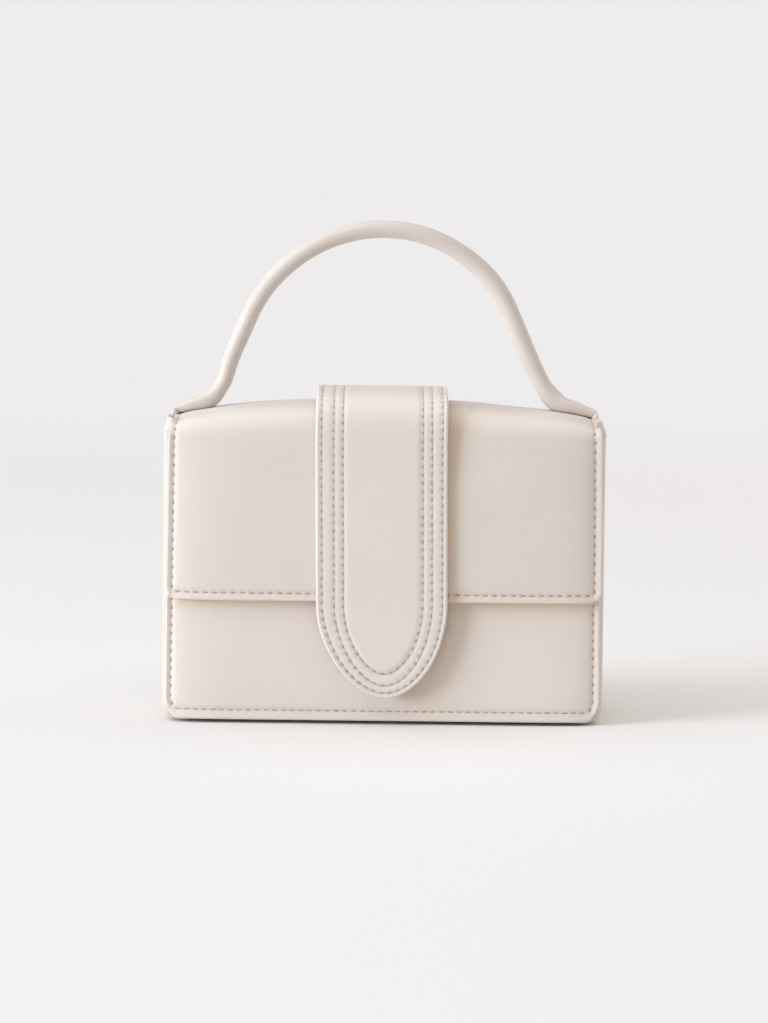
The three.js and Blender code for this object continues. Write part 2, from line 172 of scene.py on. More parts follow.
panel_low, panel_high = node_box("front_panel")
back_low, back_high = node_box("back_panel")
flap_low, flap_high = node_box("flap")
tab_low, tab_high = node_box("closure_tab")
handle_low, handle_high = node_box("handle")
gusset_low, gusset_high = node_box("gusset")
BODY_CENTRE_Y = (gusset_low[1] + gusset_high[1]) / 2
GUSSET_TOP = gusset_high[2] - GUSSET_EAR["height"]
HEM_LOW = GUSSET_TOP - HEM["height"]


def ease(value, start, end):
    """Smooth step from 0 at start to 1 at end."""
    t = np.clip((np.asarray(value, float) - start) / (end - start), 0, 1)
    return t * t * (3 - 2 * t)


def blend(start, end, share):
    return start + (end - start) * share


def half_width_at(width, z):
    return blend(width["low"], width["top"], np.clip(z / TAPER_HEIGHT, 0, 1))


def set_sideways(x, half, kind):
    """Puts a sewn sheet a little to the right and widens the margins at its sides."""
    right = RIGHT_MARGIN[kind] * ease(x, half - STITCH_INSET, half)
    left = LEFT_MARGIN[kind] * ease(-x, half - STITCH_INSET, half)
    return x + SIDE_SET[kind] + right - left


def bow_share(inset, reach):
    """Share of a sheet's bow, which starts at the stitched row."""
    return 1 - np.exp(-np.maximum(inset - STITCH_INSET, 0) / reach)


def crown(x):
    """Height of the flap's top, which sags a little on the right."""
    sag = CROWN_SAG["by"] * np.exp(-((x - CROWN_SAG["at"]) / CROWN_SAG["reach"]) ** 2)
    return flap_high[2] - CROWN_DROP * (np.abs(x) / CROWN_DROP_AT) ** CROWN_POWER - sag


# Relief of the sheets, by the inset from their edge

def edge_relief(inset, row, across=EDGE_ROUND["across"], height=RIM_HEIGHT):
    """Rounded edge and raised rim, down to the valley of the first stitched row."""
    fall = np.clip(1 - inset / across, 0, 1)
    rounded = 1 - np.sqrt(1 - fall * fall)
    rim = height * np.clip(1 - inset / row, 0, 1)
    return rim - rounded * (height + EDGE_ROUND["drop"])


def pad_relief(puff):
    """Relief of a padded panel: rim, stitched valley, steep shoulder and a gently rising field."""
    def relief(inset):
        inside = np.maximum(inset - STITCH_INSET, 0)
        shoulder = 1 - np.exp(-inside / PAD_SHOULDER["reach"])
        field = 1 - np.exp(-inside / PAD_FIELD_REACH)
        swell = PAD_SHOULDER["share"] * shoulder + (1 - PAD_SHOULDER["share"]) * field
        return edge_relief(inset, STITCH_INSET) + puff * swell
    return relief


def tab_relief(inset):
    """Relief of the tab: rim, a rib between each two stitched rows, a low field."""
    height = edge_relief(inset, TAB_ROWS[0], TAB_EDGE, TAB_RIM)
    for row, following in zip(TAB_ROWS, TAB_ROWS[1:]):
        t = np.clip((inset - row) / (following - row), 0, 1)
        height = height + TAB_RIB["seen"] * np.sin(t * math.pi) ** TAB_RIB["power"]
    return height + TAB_FIELD * ease(inset, TAB_ROWS[-1], TAB_FIELD_INSET)


def painted_shade_share(points):
    """Share of painted shade on the front: near the tab's shaded right edge and under the flap's lower
    edge, 0 to 1.
    """
    x, y, z = points.T
    below = np.maximum(tab_low[2] + TAB_END_HEIGHT - z, 0) / TAB_END_HEIGHT
    from_tab = (np.hypot(np.maximum(x, 0) / TAB_HALF_WIDTH, below) - 1) * TAB_HALF_WIDTH
    near_tab = np.exp(-np.maximum(from_tab, 0) / PAINTED_SHADE_REACH["tab"]) * ease(x, 0, TAB_HALF_WIDTH)
    under_flap = np.exp(-np.maximum(flap_low[2] - z, 0) / PAINTED_SHADE_REACH["flap"]) * (z < flap_low[2])
    return np.maximum(near_tab, under_flap) * (y < BODY_CENTRE_Y)


# Lines that the sheets follow in space

def signed_power(value, power):
    return np.sign(value) * np.abs(value) ** power


class OverTop:
    """Up the front, over the top and down the back; distances count from the front's lower edge."""

    def __init__(self, low, back_end, front, back, top):
        self.low, self.top = low, top
        self.middle, self.half = (front + back) / 2, (back - front) / 2
        self.front_leg = FLAP_SHOULDER - low
        self.turns = np.linspace(0, math.pi, ARCH_SAMPLES)
        across, up = self.arch(self.turns)
        rise = top(0) - FLAP_SHOULDER
        self.along = distances(np.stack((across * self.half, up * rise), axis=-1))
        self.arch_end = self.front_leg + self.along[-1]
        self.length = self.arch_end + FLAP_SHOULDER - back_end

    def arch(self, turn):
        power = 2 / ARCH_POWER
        return signed_power(-np.cos(turn), power), np.abs(np.sin(turn)) ** power

    def turn_at(self, along):
        return np.interp(along - self.front_leg, self.along, self.turns)

    def place(self, x, along, height):
        across, up = self.arch(self.turn_at(along))
        rise = self.top(x) - FLAP_SHOULDER
        out_y = signed_power(across, ARCH_POWER - 1) / self.half
        out_z = up ** (ARCH_POWER - 1) / rise
        size = np.hypot(out_y, out_z)
        below = np.minimum(along - self.front_leg, 0) - np.maximum(along - self.arch_end, 0)
        y = self.middle + self.half * across + out_y / size * height
        z = FLAP_SHOULDER + rise * up + out_z / size * height + below
        return np.stack(np.broadcast_arrays(x, y, z), axis=-1)


# Padded sheets

def round_corner(a, b, across, along, insets, margins, power=1):
    """Bends the square corner of a sheet into an arc; insets from the side become end margins."""
    share_a, share_b = a / across, b / along
    share = np.minimum(share_a, share_b)
    longer = np.maximum(share_a, share_b)
    leg = (longer - share) / np.maximum(1 - share, TINY)
    angle = np.where(share_a < share_b, 1 - leg, 1 + leg) * math.pi / 4
    bent = (share_a <= 1) & (share_b < 1)
    margin = np.interp(share * across, insets, margins)
    new_a = across - across * (1 - share) * np.abs(np.cos(angle)) ** power
    new_b = along - (along - margin) * np.abs(np.sin(angle)) ** power
    return np.where(bent, new_a, a), np.where(bent, new_b, b)


def corner_of(across, along):
    """A corner whose margins are stretched along the sheet as much as its arc."""
    return {"across": across, "along": along, "insets": [0, across], "margins": [0, along]}


def stretch(corner):
    """How much the margins of an end are stretched along the sheet."""
    return corner["along"] / corner["across"] if corner else 1


@dataclass
class Sheet:
    """A padded sheet: a flat pattern with rounded ends, stitched rows, and a place in space."""
    half: float
    length: float
    front: dict
    back: dict
    relief: object
    rows: list
    pitch: float
    thickness: float
    place: object

    def bend(self, u, v):
        """Pattern point after its corner is rounded, and its inset from the edge."""
        side = self.half - np.abs(u)
        inset = side
        for corner, from_end in ((self.front, v), (self.back, self.length - v)):
            inset = np.minimum(inset, from_end / stretch(corner))
        a, b = side, v
        if self.front:
            a, b = round_corner(a, b, **self.front)
        if self.back:
            a, c = round_corner(a, self.length - b, **self.back)
            b = self.length - c
        return np.sign(u) * (self.half - a), b, np.maximum(inset, 0)

    def point(self, u, v, lift=None):
        x, along, inset = self.bend(u, v)
        height = self.relief(inset) if lift is None else lift
        return self.place(x, along, height)

    def normal(self, u, v):
        return self.point(u, v, 1.0) - self.point(u, v, 0.0)

    def row_path(self, row):
        """Points and normals along a stitched row: down one side, round the end and up the other."""
        side = self.half - row
        low = row * stretch(self.front)
        high = self.length - (row * stretch(self.back) if self.back else 0)
        corners = [(-side, high), (-side, low), (side, low), (side, high)]
        if self.back:
            corners = [(0, high), *corners, (0, high)]
        u, v = [], []
        for (u0, v0), (u1, v1) in zip(corners, corners[1:]):
            count = max(2, int(math.hypot(u1 - u0, v1 - v0) / ROW_SAMPLE))
            share = np.arange(count) / count
            u.append(blend(u0, u1, share))
            v.append(blend(v0, v1, share))
        u, v = np.concatenate(u), np.concatenate(v)
        return self.point(u, v), self.normal(u, v)

    def stitches(self, start=0.5):
        return join_stitches([
            spaced_stitches(*self.row_path(row), self.pitch, start) for row in self.rows
        ])


def distances(path):
    """Distance of each point of a path from its start."""
    return np.concatenate(([0], np.cumsum(np.linalg.norm(np.diff(path, axis=0), axis=1))))


def sampled(values, along, at):
    """Values between those at the points of a path."""
    return np.stack([np.interp(at, along, column) for column in values.T], axis=-1)


def spaced_stitches(points, normals, pitch, start=0.5):
    """Even stitches along a path: middle, direction along and normal of each."""
    along = distances(points)
    count = max(1, round(along[-1] / pitch))
    at = (np.arange(count) + start) * along[-1] / count
    reach = pitch / 4
    direction = sampled(points, along, at + reach) - sampled(points, along, at - reach)
    normal = sampled(normals, along, at)
    direction /= np.linalg.norm(direction, axis=1, keepdims=True)
    normal -= direction * np.sum(normal * direction, axis=1, keepdims=True)
    normal /= np.linalg.norm(normal, axis=1, keepdims=True)
    return sampled(points, along, at), direction, normal


def join_stitches(groups):
    return tuple(np.concatenate([group[k] for group in groups]) for k in range(3))


def stitch_half(direction):
    """Half-length of a stitch: level rows are sewn longer than upright ones."""
    return blend(STITCH_HALF["upright"], STITCH_HALF["level"], direction[..., 0] ** 2)


def dimple_depth(along, across, half):
    """Depth that a stitch of a given half-length pulls into the leather, around its middle."""
    fall = (along / (half + DIMPLE["beyond"])) ** 4 + (across / DIMPLE["across"]) ** 2
    return DIMPLE["depth"] * np.exp(-fall)


def nearest_finder(points):
    """A function that gives the index of the point nearest to a place."""
    tree = KDTree(len(points))
    for k, point in enumerate(points):
        tree.insert(Vector(point), k)
    tree.balance()
    return lambda place: tree.find(Vector(place))[1]


def pull_in(points, normals, near, stitches):
    """Moves the points near the stitched rows down into the dimples of the stitches."""
    middles, directions, stitch_normals = stitches
    nearest = nearest_finder(middles)
    for index in np.nonzero(near)[0]:
        k = nearest(points[index])
        offset = points[index] - middles[k]
        sideways = np.cross(stitch_normals[k], directions[k])
        depth = dimple_depth(offset @ directions[k], offset @ sideways, stitch_half(directions[k]))
        points[index] -= normals[index] * depth
    return points


def even_lines(start, end, step):
    count = max(1, round((end - start) / step))
    return start + (end - start) * np.arange(1, count) / count


def lines_along(length, first, last, step=GRID_STEP):
    """Lines along a sheet: fine ones near both ends and even ones between."""
    first, last = np.array(first), length - np.array(last)[::-1]
    return np.concatenate((first, even_lines(first[-1], last[0], step), last))


def thinned(lines):
    """Every few lines for the plain inner face, which starts behind the rounded edge."""
    edge = EDGE_ROUND["drop"]
    middle = [line for line in lines if lines[0] + edge * 3 < line < lines[-1] - edge * 3]
    return np.array([lines[0] + edge, *middle[::INNER_STEP], lines[-1] - edge])


def new_mesh(name, points, faces, materials, face_materials=None):
    mesh = bpy.data.meshes.new(name)
    mesh.from_pydata((np.asarray(points) * MM).tolist(), [], faces)
    for material in materials:
        mesh.materials.append(material)
    if face_materials is not None:
        mesh.polygons.foreach_set("material_index", face_materials)
    mesh.shade_smooth()
    mesh.validate()
    piece = bpy.data.objects.new(name, mesh)
    bpy.context.scene.collection.objects.link(piece)
    return piece


def grid_faces(wide, tall, start=0, flip=False):
    faces = []
    for j in range(tall - 1):
        for i in range(wide - 1):
            at = start + j * wide + i
            quad = (at, at + 1, at + 1 + wide, at + wide)
            faces.append(quad[::-1] if flip else quad)
    return faces


def grid_border(wide, tall):
    """Indices round a grid's border, in order."""
    bottom = list(range(wide - 1))
    right = [j * wide + wide - 1 for j in range(tall - 1)]
    top = [(tall - 1) * wide + i for i in range(wide - 1, 0, -1)]
    left = [j * wide for j in range(tall - 1, 0, -1)]
    return bottom + right + top + left


def sweep_faces(rings, count):
    """Faces of a tube of closed rings, with its two ends last."""
    faces = []
    for k in range(rings - 1):
        for i in range(count):
            here, following = k * count + i, k * count + (i + 1) % count
            faces.append((here, following, following + count, here + count))
    last = (rings - 1) * count
    faces.append(tuple(range(count))[::-1])
    faces.append(tuple(range(last, last + count)))
    return faces


def border_faces(outer, outer_points, inner, inner_points, inner_start):
    """Faces between the outer face's fine border and the inner face's coarser one."""
    total = len(outer)
    nearest = nearest_finder([outer_points[index] for index in outer])
    marks = [nearest(inner_points[index]) for index in inner]
    faces = []
    for k, index in enumerate(inner):
        following = (k + 1) % len(inner)
        span = (marks[following] - marks[k]) % total
        run = [outer[(marks[k] + step) % total] for step in range(span + 1)]
        faces.append([*run[::-1], inner_start + index, inner_start + inner[following]])
    return faces


def sheet_piece(name, sheet, columns, rows, material, with_painted_shade=False):
    """The closed mesh of a sheet with its dimples, its tone along the stitched rows (partly wear, partly
    painted shade) and, where asked, its painted shade, and its stitches.
    """
    stitches = sheet.stitches()
    v, u = np.meshgrid(rows, columns, indexing="ij")
    u, v = u.ravel(), v.ravel()
    inset = sheet.bend(u, v)[2]
    points = sheet.point(u, v)
    normals = sheet.normal(u, v)
    near = np.zeros(len(u), bool)
    # Tone along the stitched rows: partly wear, partly painted shade in the valley
    seam = np.zeros(len(u))
    for row in sheet.rows:
        near |= np.abs(inset - row) < SEAM_REACH["pull"]
        seam = np.maximum(seam, np.exp(-((inset - row) / SEAM_REACH["tint"]) ** 2))
    points = pull_in(points, normals, near, stitches)

    inner_columns, inner_rows = thinned(columns), thinned(rows)
    inner_v, inner_u = np.meshgrid(inner_rows, inner_columns, indexing="ij")
    inner_points = sheet.point(inner_u.ravel(), inner_v.ravel(), -sheet.thickness)

    start = len(points)
    outer, inner = (len(columns), len(rows)), (len(inner_columns), len(inner_rows))
    faces = grid_faces(*outer) + grid_faces(*inner, start, flip=True)
    faces += border_faces(grid_border(*outer), points, grid_border(*inner), inner_points, start)
    piece = new_mesh(name, np.concatenate((points, inner_points)), faces, [material])
    tones = {"seam": seam}
    # Painted shade near the tab's shaded edge and under the flap's edge
    if with_painted_shade:
        tones["painted_shade"] = painted_shade_share(points)
    for tone_name, share in tones.items():
        tone = piece.data.attributes.new(tone_name, "FLOAT", "POINT")
        tone.data.foreach_set("value", np.concatenate((share, np.zeros(len(inner_points)))))
    return piece, stitches


# Stitches: a short thread that dips at both ends, over a dark disc of painted shade at the needle slot;
# pale threads between slots

def full_turn(sides):
    return 2 * math.pi * np.arange(sides) / sides


def thread_template(half):
    """Points in (along, sideways, normal) of one thread, and its faces."""
    rings, turns = THREAD["rings"], full_turn(THREAD["sides"])
    points = []
    for ring in range(rings):
        share = -1 + 2 * ring / (rings - 1)
        lean = share * THREAD["turn"] * math.pi / 2
        radius = THREAD["radius"] * math.cos(lean) ** 0.5
        rise = THREAD["sink"] - DIMPLE["depth"] - THREAD["dip"] * share * share
        points += [
            (half * math.sin(lean), radius * math.cos(t), rise + radius * math.sin(t)) for t in turns
        ]
    return np.array(points), sweep_faces(rings, len(turns))


def bridge_template(half):
    """Points in (along, sideways, normal) of the pale thread between two needle slots, and its faces."""
    points, faces = thread_template(half)
    shrink = BRIDGE["radius"] / THREAD["radius"]
    ends = points[:, 0] / half
    rise = THREAD["sink"] - DIMPLE["depth"] - THREAD["dip"] * ends * ends
    points[:, 1] *= shrink
    points[:, 2] = (points[:, 2] - rise) * shrink + BRIDGE["rise"]
    return points, faces


def needle_shade_template(half):
    """Points in (along, sideways, normal) of one needle slot, a dark disc of painted shade, and its faces.
    """
    sides = SLOT["sides"]
    points = [(0, 0, SLOT["lift"] - dimple_depth(0, 0, half)), (0, 0, -DIMPLE["depth"] - SLOT["root"])]
    for share in (SLOT["floor"], 1.0):
        along = share * (half + SLOT["beyond"]) * np.cos(full_turn(sides))
        across = share * SLOT["wide"] * np.sin(full_turn(sides))
        lift = SLOT["lift"] * (SLOT["fade"] - share)
        points += list(zip(along, across, lift - dimple_depth(along, across, half)))
    faces = []
    for side in range(sides):
        following = (side + 1) % sides
        faces.append((0, 2 + side, 2 + following))
        faces.append((2 + side, 2 + sides + side, 2 + sides + following, 2 + following))
        faces.append((2 + sides + side, 1, 2 + sides + following))
    return np.array(points), faces


def stitching(name, stitches, templates, materials, scale=1.0, half=None):
    """One mesh with all the stitches of a piece; each kind of template has its own material."""
    middles, directions, normals = stitches
    sideways = np.cross(normals, directions)
    points, faces, kinds = [], [], []
    count = 0
    for kind, make_template in enumerate(templates):
        for middle, along, side, normal in zip(middles, directions, sideways, normals):
            template, template_faces = make_template(half or stitch_half(along))
            points.append(middle + scale * template @ np.stack((along, side, normal)))
            faces += [tuple(index + count for index in face) for face in template_faces]
            kinds += [kind] * len(template_faces)
            count += len(template)
    return new_mesh(name, np.concatenate(points), faces, materials, kinds)


# Swept pieces

def fillet(start, bend, end, radius, steps):
    """Points of an arc that rounds the corner at bend between the lines to start and end."""
    to_start = (start - bend) / np.linalg.norm(start - bend)
    to_end = (end - bend) / np.linalg.norm(end - bend)
    half_angle = math.acos(to_start @ to_end) / 2
    reach = radius / math.tan(half_angle)
    to_centre = (to_start + to_end) / np.linalg.norm(to_start + to_end)
    centre = bend + to_centre * radius / math.sin(half_angle)
    first, last = bend + to_start * reach - centre, bend + to_end * reach - centre
    sweep = math.atan2(first[0] * last[1] - first[1] * last[0], first @ last)
    turns = np.linspace(0, sweep, steps)
    cos, sin = np.cos(turns), np.sin(turns)
    return centre + np.stack((first[0] * cos - first[1] * sin, first[0] * sin + first[1] * cos), axis=-1)


def resampled(path, step):
    along = distances(path)
    return sampled(path, along, np.linspace(0, along[-1], round(along[-1] / step) + 1))


def smoothed(path, passes):
    for _ in range(passes):
        path[1:-1] = (path[:-2] + 2 * path[1:-1] + path[2:]) / 4
    return path


def handle_half(half_name):
    """Columns of one half, as on the right: x, z, half-thickness, half-width, foot, strap, sink."""
    arc_centre = handle_high[2] - HANDLE_RADIUS - HANDLE_ARC_RADIUS
    angles = np.linspace(0, HANDLE_ARC_ANGLE, HANDLE_SAMPLES["arc"])
    arc = np.stack((np.sin(angles), np.cos(angles)), axis=-1) * HANDLE_ARC_RADIUS + (0, arc_centre)
    foot = np.array((FOOT_BEND["x"], FOOT_BEND["z"]))
    strap = np.array((STRAP_X[half_name], STRAP_BEND["z"]))
    end = np.array((STRAP_X[half_name], handle_low[2]))
    foot_end = FOOT_END[half_name]
    foot_radius = FOOT_BEND["radius"][half_name]
    right = np.concatenate((
        arc,
        fillet(arc[-1], foot, strap, foot_radius, HANDLE_SAMPLES["foot"]),
        fillet(foot, strap, end, STRAP_BEND["radius"], HANDLE_SAMPLES["strap"]),
        end[None],
    ))
    right = smoothed(resampled(right, HANDLE_STEP), HANDLE_SAMPLES["smoothing"])
    x, z = right[:, 0], right[:, 1]
    on_foot = ease(z - FOOT_BEND["z"], foot_radius + FOOT_BEND["blend"], foot_radius - FOOT_BEND["blend"])
    foot_share = ease(x, FOOT_TAPER["from"], FOOT_TAPER["to"]) * on_foot
    strap_share = ease(x, foot_end, foot_end + FOOT_END["reach"])
    halves = []
    for size in ("thick", "wide"):
        half = blend(HANDLE_RADIUS, FOOT_HALF[size], foot_share)
        halves.append(blend(half, STRAP_HALF[size], strap_share))
    at_heel = ease(x, HEEL_THIN["from"], HEEL_THIN["full"]) * ease(x, HEEL_THIN["to"], HEEL_THIN["fade"])
    halves[0] = halves[0] - HEEL_THIN["by"][half_name] * at_heel
    gap = z - halves[0] - crown(x) + FOOT_SEAT["press"]
    seated = ease(x, FOOT_SEAT["from"][half_name], FOOT_SEAT["to"][half_name]) * on_foot * (1 - strap_share)
    seat = np.maximum(gap, 0) * seated
    drop = FOOT_DROP["by"] / 2 * ease(x, FOOT_DROP["from"], FOOT_DROP["to"]) * (1 - strap_share)
    fill = STRAP_FILL["by"] * strap_share * ease(z, STRAP_FILL["from"], STRAP_FILL["to"])
    halves[0] = halves[0] + seat / 2 + fill - drop
    return np.column_stack((x, z - seat / 2, *halves, foot_share, strap_share, fill + drop))


def handle_stations():
    """The whole handle's stations from the left strap to the right one, leaning a little."""
    right = handle_half("right")
    swell = HANDLE_SWELL
    legs = ease(right[:, 1], swell["from"], swell["full"]) * ease(right[:, 1], swell["to"], swell["fade"])
    right[:, 0] += swell["by"] * legs
    right[:, 2] += swell["thick"] * legs
    left = handle_half("left")[:0:-1] * (-1, 1, 1, 1, 1, 1, 1)
    table = np.concatenate((left, right))
    above = ease(table[:, 1], FOOT_BEND["z"], FOOT_BEND["z"] + HANDLE_LEAN["rise"])
    top = ease(table[:, 1], HANDLE_LEAN["top_from"], handle_high[2])
    table[:, 0] += HANDLE_LEAN["shift"] * above + HANDLE_LEAN["top"] * top
    return table


def handle_piece(material):
    table = handle_stations()
    middle = table[:, :2]
    along = np.gradient(middle, axis=0)
    along /= np.linalg.norm(along, axis=1, keepdims=True)
    normal = np.stack((-along[:, 1], along[:, 0]), axis=-1)
    thick, wide, foot, strap, sink = table.T[2:]
    middle = middle - normal * sink[:, None]
    rolled = 1 - np.maximum(foot, strap)
    power = 2 / (2 + SQUARER["foot"] * foot + SQUARER["strap"] * strap)[:, None]
    angles = full_turn(HANDLE_SIDES)
    seams = (math.pi - HANDLE_SEAM_ANGLE, HANDLE_SEAM_ANGLE)
    groove = 1.0
    for seam in seams:
        gap = (angles - seam) / HANDLE_SEAM["wide"]
        groove = groove - HANDLE_SEAM["depth"] / HANDLE_RADIUS * np.exp(-gap * gap) * rolled[:, None]
    across = signed_power(np.cos(angles), power) * wide[:, None] * groove
    up = signed_power(np.sin(angles), power) * thick[:, None] * groove
    points = np.stack((
        middle[:, :1] + normal[:, :1] * up,
        BODY_CENTRE_Y + across,
        middle[:, 1:] + normal[:, 1:] * up,
    ), axis=-1).reshape(-1, 3)
    faces = sweep_faces(len(table), HANDLE_SIDES)
    piece = new_mesh("handle_leather_roll", points, faces, [material])

    sewn = rolled > HANDLE_SEAM["sewn_from"]
    centre = np.insert(middle, 1, BODY_CENTRE_Y, axis=1)
    size = np.stack((thick, wide, thick), axis=-1) - HANDLE_SEAM["depth"]
    groups = []
    for seam in seams:
        out = np.insert(normal * math.sin(seam), 1, math.cos(seam), axis=1)
        groups.append(spaced_stitches((centre + out * size)[sewn], out[sewn], PITCH["handle"]))
    return piece, join_stitches(groups)


def gusset_stations():
    """Places along the gusset's strip, from the left top round the base to the right top."""
    corner, top = GUSSET_CORNER_RADIUS, GUSSET_TOP
    hem_start = HEM_LOW - HEM["lead"]
    wall = np.arange(corner, hem_start, GUSSET_STEP["wall"])
    hem = np.arange(hem_start, top, GUSSET_STEP["hem"])
    right = [(half_width_at(GUSSET_HALF_WIDTH, z), z, 1.0, 0.0) for z in (*wall, *hem, top)]
    corner_x = half_width_at(GUSSET_HALF_WIDTH, corner) - corner
    turns = np.linspace(0, math.pi / 2, GUSSET_COUNT["corner"])[:-1]
    bend = [
        (corner_x + corner * math.sin(t), corner - corner * math.cos(t), math.sin(t), -math.cos(t))
        for t in turns
    ]
    base = [(x, 0.0, 0.0, -1.0) for x in np.linspace(0, corner_x, GUSSET_COUNT["base"])[:-1]]
    half = np.array(base + bend + right)
    return np.concatenate((half[:0:-1] * (-1, 1, -1, 1), half))


def gusset_section(edge):
    """Outline of the channel: depth from the middle, inward from the outer face, and outer share."""
    wall, inner = GUSSET_WALL, BODY_HALF_DEPTH - edge
    turns = np.linspace(0, math.pi / 2, GUSSET_COUNT["edge"])
    face = [(y, 0.0, 1.0) for y in np.linspace(0, inner, GUSSET_COUNT["face"])[:-1]]
    bend = [(inner + edge * math.sin(t), edge - edge * math.cos(t), math.cos(t)) for t in turns]
    flange = [
        (BODY_HALF_DEPTH, GUSSET_FLANGE, 0.0),
        (BODY_HALF_DEPTH - wall, GUSSET_FLANGE, 0.0),
        (BODY_HALF_DEPTH - wall, wall, 0.0),
    ]
    back = face + bend + flange
    front = [(-y, inward, outer) for y, inward, outer in back[:0:-1]]
    return np.array(back + front)


def ear_rise(depth, inward):
    """Rise of the gusset's top under the flap's arch; the turned-in flange stays low."""
    share = np.abs(depth) / (flap_high[1] - FLAP_PUFF - BODY_CENTRE_Y)
    arch = (1 - share ** GUSSET_EAR["power"]) ** (1 / GUSSET_EAR["power"])
    height = GUSSET_EAR["height"] + GUSSET_EAR["more"]
    rise = (height + GUSSET_EAR["below"]) * arch - GUSSET_EAR["below"]
    return rise * ease(inward, GUSSET_FLANGE, GUSSET_EDGE_RADIUS["side"])


def ear_lean(rise, z):
    """How far the gusset's ear leans inwards above the hem's lower edge."""
    return GUSSET_EAR["lean"] * rise / GUSSET_EAR["height"] * ease(z, HEM_LOW, GUSSET_TOP)


def gusset_piece(material):
    side_edge, base_edge = GUSSET_EDGE_RADIUS["side"], GUSSET_EDGE_RADIUS["base"]
    rings = []
    for x, z, out_x, out_z in gusset_stations():
        on_base = out_z * out_z
        section = gusset_section(blend(side_edge, base_edge, on_base))
        from_edge = BODY_HALF_DEPTH - np.abs(section[:, 0])
        lift = BASE_LIFT["height"] * ease(from_edge, BASE_LIFT["inner"], BASE_LIFT["outer"]) * on_base
        hem = HEM["lift"] * ease(z, HEM_LOW - HEM["soft"], HEM_LOW + HEM["soft"])
        inward = section[:, 1] + (lift - hem) * section[:, 2]
        rise = ear_rise(section[:, 0], section[:, 1]) * ease(z, GUSSET_TOP - GUSSET_EAR["reach"], HEM_LOW)
        rings.append(np.stack((
            x - out_x * (inward + ear_lean(rise, z)) + GUSSET_SET,
            BODY_CENTRE_Y + section[:, 0],
            z + rise - out_z * inward,
        ), axis=-1))
    faces = sweep_faces(len(rings), len(rings[0]))
    piece = new_mesh("gusset_strip", np.concatenate(rings), faces, [material])
    bevel = piece.modifiers.new("soft_edges", "BEVEL")
    bevel.width = GUSSET_BEVEL["width"] * MM
    bevel.segments = GUSSET_BEVEL["segments"]
    bevel.limit_method = "ANGLE"
    bevel.angle_limit = GUSSET_BEVEL["angle"]
    groups = []
    for side in (-1, 1):
        z = GUSSET_TOP - HEM["height"] / 2
        depth = np.linspace(-1, 1, HEM["samples"]) * (BODY_HALF_DEPTH - side_edge)
        rise = ear_rise(depth, 0)
        x = side * (half_width_at(GUSSET_HALF_WIDTH, z) + HEM["lift"] - ear_lean(rise, z)) + GUSSET_SET
        path = np.stack((x, depth + BODY_CENTRE_Y, z + rise), axis=-1)
        groups.append(spaced_stitches(path, np.tile((side, 0.0, 0.0), (len(depth), 1)), PITCH["hem"]))
    return piece, join_stitches(groups)


# Materials: texture scales are in repeats per metre, bump distances in metres

LEATHER_SURFACE = {"Specular IOR Level": 0.42, "Sheen Weight": 0.06, "Sheen Roughness": 0.5}
LEATHER_ROUGHNESS = {"body": 0.46, "handle": 0.56, "less": 0.05, "more": 0.06}
CLOUD = {"Scale": 22.0, "Detail": 3.0, "Roughness": 0.55}
CLOUD_TONES = {"dark": 0.975, "pale": 1.02, "start": 0.3, "end": 0.7}
GRAIN = {"Scale": 1500.0, "Smoothness": 0.6}
PORES = {"Scale": 900.0, "Detail": 4.0, "Roughness": 0.6}
LEATHER_BUMP = {"Strength": 0.22, "Distance": 0.00012}
# Darker, warmer tone along the stitched rows: partly wear, partly painted shade in the stitched valley
SEAM_TINT = {"colour": (0.95, 0.92, 0.885), "share": 0.5}
# Painted shade: a warmer, darker tint near the tab's shaded edge and under the flap's edge
PAINTED_SHADE_TINT = (0.95, 0.85, 0.74)
THREAD_SURFACE = {"Roughness": 0.75, "Specular IOR Level": 0.25}
TWIST = {"Scale": 3200.0, "Detail": 2.0}
TWIST_TONES = {"dark": 0.85, "pale": 1, "start": 0, "end": 1}
TWIST_BUMP = {"Strength": 0.4, "Distance": 0.0001}
SLOT_SURFACE = {"Roughness": 0.9, "Specular IOR Level": 0.2}
NICKEL_MARKS = {"Scale": 700.0, "Detail": 3.0}
NICKEL_ROUGHNESS = {"To Min": 0.24, "To Max": 0.4}
NICKEL_BUMP = {"Strength": 0.1, "Distance": 0.00005}

LEATHER_COLOUR = {
    "flap": (0.72, 0.645, 0.59),
    # The panels are paler than the flap as painted light: more light reaches the lower front from the floor
    "panel": (0.75, 0.672, 0.614),
    "tab": (0.745, 0.67, 0.615),
    "gusset": (0.69, 0.603, 0.535),
    "handle": (0.68, 0.602, 0.545),
}
# Stitch thread: partly its own taupe colour, partly painted shade that makes it read dark
STITCH_THREAD_AND_SHADE_COLOUR = (0.48, 0.418, 0.365)
PALE_THREAD_COLOUR = (0.66, 0.59, 0.53)
# Painted shade of the needle holes
NEEDLE_SHADE_COLOUR = (0.31, 0.26, 0.22)
HANDLE_THREAD_COLOUR = (0.70, 0.63, 0.57)
# Painted shade of the handle's needle holes
HANDLE_NEEDLE_SHADE_COLOUR = (0.45, 0.38, 0.33)
NICKEL_COLOUR = (0.78, 0.77, 0.74)


def node(tree, kind, **settings):
    """A new node; each setting is one of its inputs, by name, or else a property."""
    made = tree.nodes.new(kind)
    for key, value in settings.items():
        if key in made.inputs:
            made.inputs[key].default_value = value
        else:
            setattr(made, key, value)
    return made


def wire(tree, *links):
    """Each link names a node and its output, then a node and its input."""
    for source, output, target, socket in links:
        tree.links.new(source.outputs[output], target.inputs[socket])


